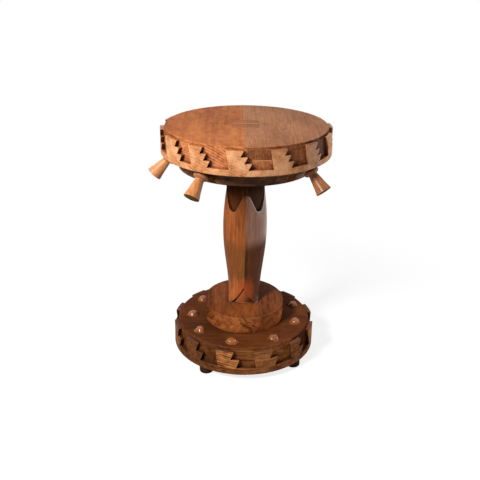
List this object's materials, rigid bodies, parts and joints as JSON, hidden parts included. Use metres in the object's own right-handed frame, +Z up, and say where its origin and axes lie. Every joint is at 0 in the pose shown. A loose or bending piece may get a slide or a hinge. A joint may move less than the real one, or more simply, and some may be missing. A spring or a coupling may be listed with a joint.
{
  "type": "carved drum side table",
  "caption": "Round carved wooden side table shaped like a drum, with a stepped frieze, slanted pegs, a carved column and a knobbed base on small feet.",
  "frame": {"origin": "on the floor, on the column's axis", "axes": "+Z up; the column's four bowed faces look along +X, -X, +Y and -Y, so that the arris the picture looks at stands towards +X and -Y alike"},
  "size_m": [0.4533, 0.4556, 0.59],
  "materials": {
    "board_orange": "satin varnish",
    "board_brown": "satin varnish",
    "dowel_wood": "plain",
    "dark_wood": "satin varnish",
    "column_wood": "satin varnish",
    "wedge_wood": "satin varnish",
    "plinth_wood": "satin varnish",
    "base_wood": "gloss varnish",
    "peg_wood": "satin varnish",
    "knob_wood": "gloss varnish",
    "foot_wood": "dark stain",
    "screw_steel": "zinc plated"
  },
  "bodies": {
    "root": {"top_board_left": "board_orange", "top_board_right": "board_brown", "seam_dowels": "dowel_wood", "under_disc": "dark_wood", "under_disc_screws": "screw_steel", "column": "column_wood", "top_tenon_wedge": "wedge_wood", "foot_tenon_wedge": "wedge_wood", "plinth": "plinth_wood", "base_disc": "base_wood", "drum_peg_1": "peg_wood", "drum_peg_2": "peg_wood", "drum_peg_3": "peg_wood", "drum_peg_4": "peg_wood", "drum_peg_5": "peg_wood", "base_knob_1": "knob_wood", "base_knob_2": "knob_wood", "base_knob_3": "knob_wood", "base_knob_4": "knob_wood", "base_knob_5": "knob_wood", "base_knob_6": "knob_wood", "base_knob_7": "knob_wood", "base_knob_8": "knob_wood", "base_knob_9": "knob_wood", "foot_pad_1": "foot_wood", "foot_pad_2": "foot_wood", "foot_pad_3": "foot_wood", "foot_pad_4": "foot_wood", "foot_screws": "screw_steel"}
  },
  "joints": []
}
